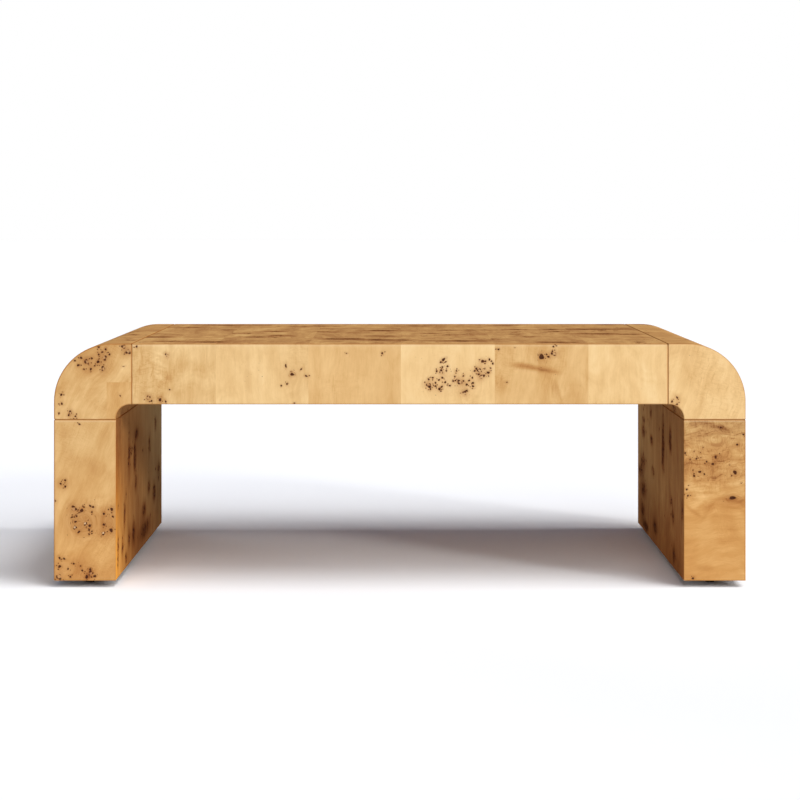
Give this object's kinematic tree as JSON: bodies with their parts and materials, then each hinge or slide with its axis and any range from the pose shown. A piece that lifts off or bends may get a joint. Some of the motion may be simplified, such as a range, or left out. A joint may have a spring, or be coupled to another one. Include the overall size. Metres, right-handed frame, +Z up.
{
  "type": "waterfall coffee table",
  "caption": "Low rectangular coffee table whose thick top bends through rounded corners into two full-depth slab legs, veneered in burl all over, on levelling feet.",
  "frame": {"origin": "on the floor, under the middle of the table", "axes": "+X along the length, +Y from the front face to the back face, +Z up"},
  "size_m": [1.22, 0.66, 0.43],
  "materials": {
    "burl_veneer": "satin lacquer over burl veneer",
    "carcass_board": "raw fibreboard",
    "bent_plywood": "raw bending plywood",
    "beech": "raw beech",
    "zinc_steel": "zinc plated",
    "insert_steel": "yellow zinc plated",
    "foot_plastic": "black moulded nylon"
  },
  "bodies": {
    "table": {"corner_foot_plates": "carcass_board", "corner_formers": "carcass_board", "corner_left_back_cheek": "carcass_board", "corner_left_front_cheek": "carcass_board", "corner_left_inner_skin": "bent_plywood", "corner_left_outer_skin": "bent_plywood", "corner_left_veneer_back": "burl_veneer", "corner_left_veneer_front": "burl_veneer", "corner_left_veneer_inner": "burl_veneer", "corner_left_veneer_outer": "burl_veneer", "corner_right_back_cheek": "carcass_board", "corner_right_front_cheek": "carcass_board", "corner_right_inner_skin": "bent_plywood", "corner_right_outer_skin": "bent_plywood", "corner_right_veneer_back": "burl_veneer", "corner_right_veneer_front": "burl_veneer", "corner_right_veneer_inner": "burl_veneer", "corner_right_veneer_outer": "burl_veneer", "corner_side_plates": "carcass_board", "joint_dowels": "beech", "joint_screws": "zinc_steel", "leg_bottom_plates": "carcass_board", "leg_left_back_stile": "carcass_board", "leg_left_front_stile": "carcass_board", "leg_left_inner_panel": "carcass_board", "leg_left_outer_panel": "carcass_board", "leg_left_veneer_back": "burl_veneer", "leg_left_veneer_front": "burl_veneer", "leg_left_veneer_inner": "burl_veneer", "leg_left_veneer_outer": "burl_veneer", "leg_partitions": "carcass_board", "leg_right_back_stile": "carcass_board", "leg_right_front_stile": "carcass_board", "leg_right_inner_panel": "carcass_board", "leg_right_outer_panel": "carcass_board", "leg_right_veneer_back": "burl_veneer", "leg_right_veneer_front": "burl_veneer", "leg_right_veneer_inner": "burl_veneer", "leg_right_veneer_outer": "burl_veneer", "leg_tie_bolts": "zinc_steel", "leg_top_plates": "carcass_board", "threaded_inserts": "insert_steel", "top_back_rail": "carcass_board", "top_cross_ribs": "carcass_board", "top_end_plates": "carcass_board", "top_front_rail": "carcass_board", "top_panel": "carcass_board", "top_underside_panel": "carcass_board", "veneer_apron_back": "burl_veneer", "veneer_apron_front": "burl_veneer", "veneer_top": "burl_veneer", "veneer_underside": "burl_veneer"},
    "pad_front_left": {"foot_pad_front_left": "foot_plastic"},
    "stem_front_left": {"foot_stem_front_left": "zinc_steel"},
    "pad_front_right": {"foot_pad_front_right": "foot_plastic"},
    "stem_front_right": {"foot_stem_front_right": "zinc_steel"},
    "pad_back_left": {"foot_pad_back_left": "foot_plastic"},
    "stem_back_left": {"foot_stem_back_left": "zinc_steel"},
    "pad_back_right": {"foot_pad_back_right": "foot_plastic"},
    "stem_back_right": {"foot_stem_back_right": "zinc_steel"}
  },
  "joints": [
    {"name": "foot_lift_front_left", "type": "slide", "parent": "table", "child": "pad_front_left", "axis": [0, 0, -1], "range_m": [0, 0.01]},
    {"name": "stem_turn_front_left", "type": "hinge", "parent": "pad_front_left", "child": "stem_front_left", "pos_m": [-0.5555, -0.272, 0.02], "axis": [0, 0, -1], "range_deg": [0, 2880]},
    {"name": "foot_lift_front_right", "type": "slide", "parent": "table", "child": "pad_front_right", "axis": [0, 0, -1], "range_m": [0, 0.01]},
    {"name": "stem_turn_front_right", "type": "hinge", "parent": "pad_front_right", "child": "stem_front_right", "pos_m": [0.5555, -0.272, 0.02], "axis": [0, 0, -1], "range_deg": [0, 2880]},
    {"name": "foot_lift_back_left", "type": "slide", "parent": "table", "child": "pad_back_left", "axis": [0, 0, -1], "range_m": [0, 0.01]},
    {"name": "stem_turn_back_left", "type": "hinge", "parent": "pad_back_left", "child": "stem_back_left", "pos_m": [-0.5555, 0.272, 0.02], "axis": [0, 0, -1], "range_deg": [0, 2880]},
    {"name": "foot_lift_back_right", "type": "slide", "parent": "table", "child": "pad_back_right", "axis": [0, 0, -1], "range_m": [0, 0.01]},
    {"name": "stem_turn_back_right", "type": "hinge", "parent": "pad_back_right", "child": "stem_back_right", "pos_m": [0.5555, 0.272, 0.02], "axis": [0, 0, -1], "range_deg": [0, 2880]}
  ],
  "couplings": [
    {"joint": "foot_lift_front_left", "follows": "stem_turn_front_left", "m_per_rad": 0.00019894},
    {"joint": "foot_lift_front_right", "follows": "stem_turn_front_right", "m_per_rad": 0.00019894},
    {"joint": "foot_lift_back_left", "follows": "stem_turn_back_left", "m_per_rad": 0.00019894},
    {"joint": "foot_lift_back_right", "follows": "stem_turn_back_right", "m_per_rad": 0.00019894}
  ]
}
